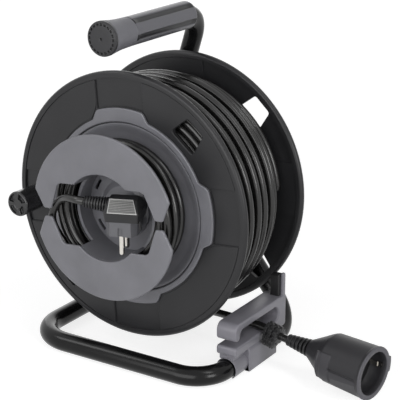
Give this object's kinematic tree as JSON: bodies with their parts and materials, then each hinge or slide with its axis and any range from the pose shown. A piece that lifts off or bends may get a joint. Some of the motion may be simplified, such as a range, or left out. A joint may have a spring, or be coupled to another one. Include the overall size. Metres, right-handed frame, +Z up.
{
  "type": "extension cord reel",
  "caption": "Hand-wound extension cord reel on a bent tube stand, with a stowed plug lead in a front spool, a crank knob, a cord guide and one trailing coupling",
  "frame": {"origin": "on the floor under the middle of the stand and drum, cords left out", "axes": "+Z up, -Y the front of the drum with the plug, +X the side where the coupling leaves"},
  "size_m": [0.3647, 0.1849, 0.3185],
  "materials": {
    "tube_black": "gloss black powder coat",
    "steel": "zinc plated",
    "spring_steel": "phosphated",
    "grip_grey": "satin grey",
    "cap_dark": "matt",
    "guide_grey": "satin",
    "drum_dark": "satin",
    "spool_grey": "satin",
    "bush": "plain",
    "cord_black": "glossy sheath",
    "soft_black": "matt",
    "insert_grey": "matt",
    "contact": "nickel plated"
  },
  "bodies": {
    "stand": {"frame_tube": "tube_black", "axle_saddle": "tube_black", "axle_bolt": "steel", "axle": "steel", "rear_washer": "steel", "front_washer": "steel", "axle_clip": "spring_steel", "grip_sleeve": "grip_grey", "grip_collar": "grip_grey", "grip_cap": "cap_dark", "cable_guide": "guide_grey", "guide_post": "guide_grey", "cord_tail": "cord_black", "cord_clip": "soft_black", "coupling_body": "soft_black", "coupling_relief": "soft_black", "coupling_insert": "insert_grey", "coupling_contacts": "contact", "coupling_earth": "contact"},
    "drum": {"rear_flange": "drum_dark", "front_flange": "drum_dark", "drum_barrel": "drum_dark", "drum_screws": "steel", "rear_bush": "bush", "front_bush": "bush", "cord_core": "cord_black", "cord_winding": "cord_black", "ring_plate": "spool_grey", "spool_dish": "spool_grey", "spool_core": "spool_grey", "spool_screws": "steel", "hub_cap": "spool_grey", "disc_upper": "spool_grey", "disc_lower": "spool_grey", "lead_gland": "drum_dark", "lead_coil": "cord_black", "lead_cord": "cord_black", "plug_body": "soft_black", "plug_insert": "insert_grey", "plug_pins": "contact", "plug_earth": "contact", "plug_relief": "soft_black", "knob_pin": "steel"},
    "knob": {"crank_knob": "cap_dark", "knob_core": "cap_dark"}
  },
  "joints": [
    {"name": "drum_spin", "type": "hinge", "parent": "stand", "child": "drum", "pos_m": [0, 0.006, 0.143], "axis": [0, -1, 0], "continuous": true},
    {"name": "knob_spin", "type": "hinge", "parent": "drum", "child": "knob", "pos_m": [-0.10497, -0.0465, 0.13474], "axis": [0, -1, 0], "continuous": true}
  ]
}
